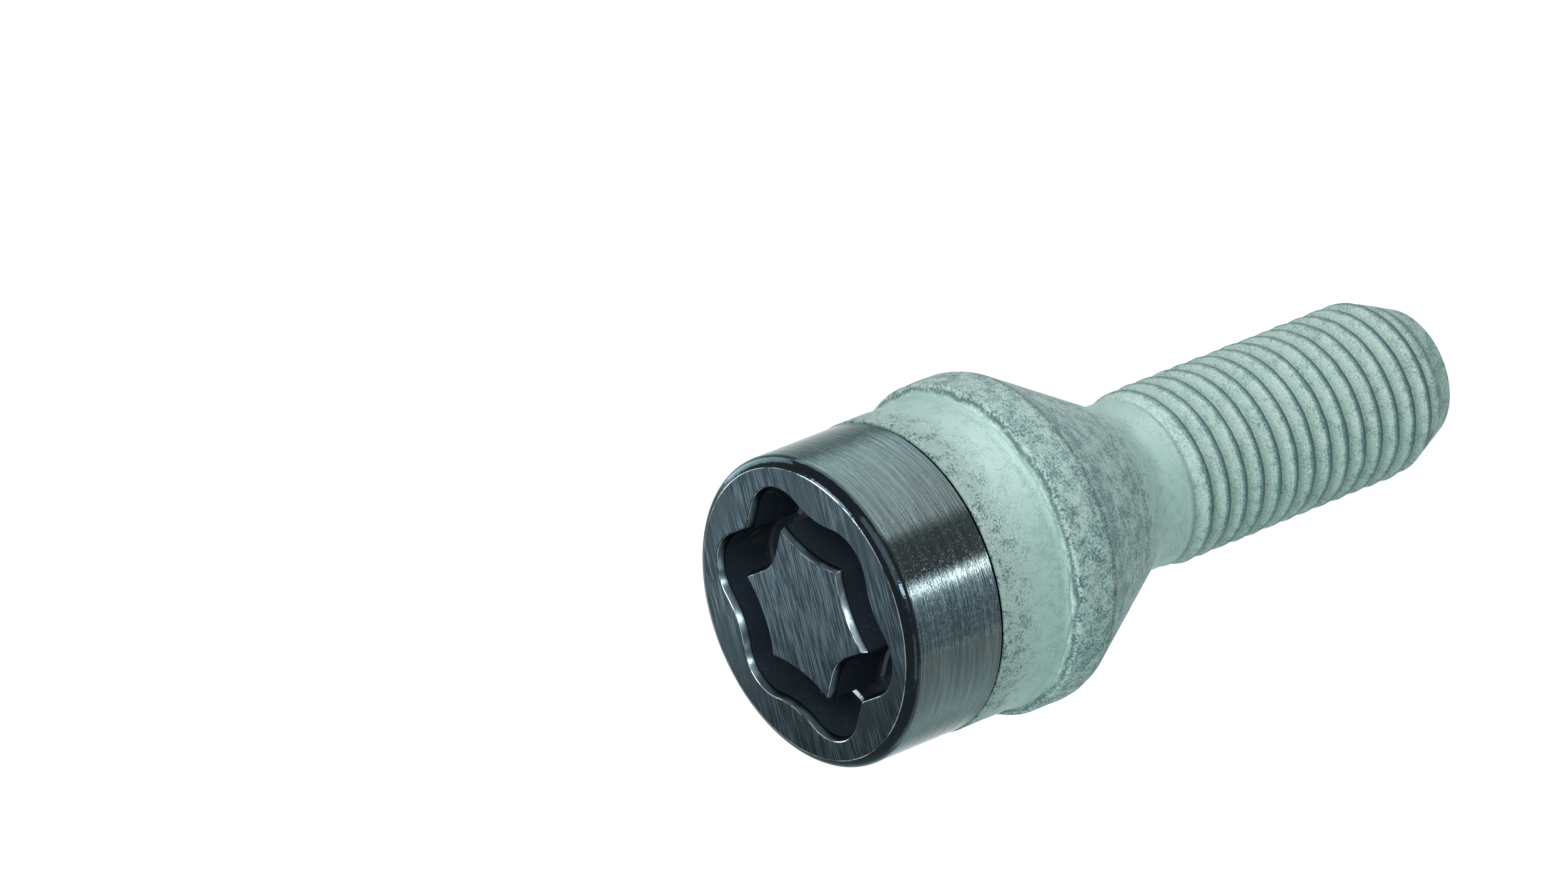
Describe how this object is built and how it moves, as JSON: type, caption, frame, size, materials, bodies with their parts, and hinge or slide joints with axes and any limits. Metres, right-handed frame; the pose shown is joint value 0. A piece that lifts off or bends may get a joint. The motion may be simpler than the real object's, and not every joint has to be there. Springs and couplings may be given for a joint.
{
  "type": "locking wheel bolt",
  "caption": "Locking wheel bolt with a wavy key groove in its round black head, a forged collar, a conical seat and an M12 x 1.5 threaded shank.",
  "frame": {"origin": "centre of the flat end of the thread, which the bolt stands on", "axes": "+Z along the bolt's axis, from the end of the thread up to the keyed face; the groove's two sharp noses lie on X"},
  "size_m": [0.0222, 0.0222, 0.052],
  "materials": {
    "coated_steel": "pale grey-green zinc flake, with a turned gloss black head"
  },
  "bodies": {
    "root": {"wheel_bolt": "coated_steel"}
  },
  "joints": []
}
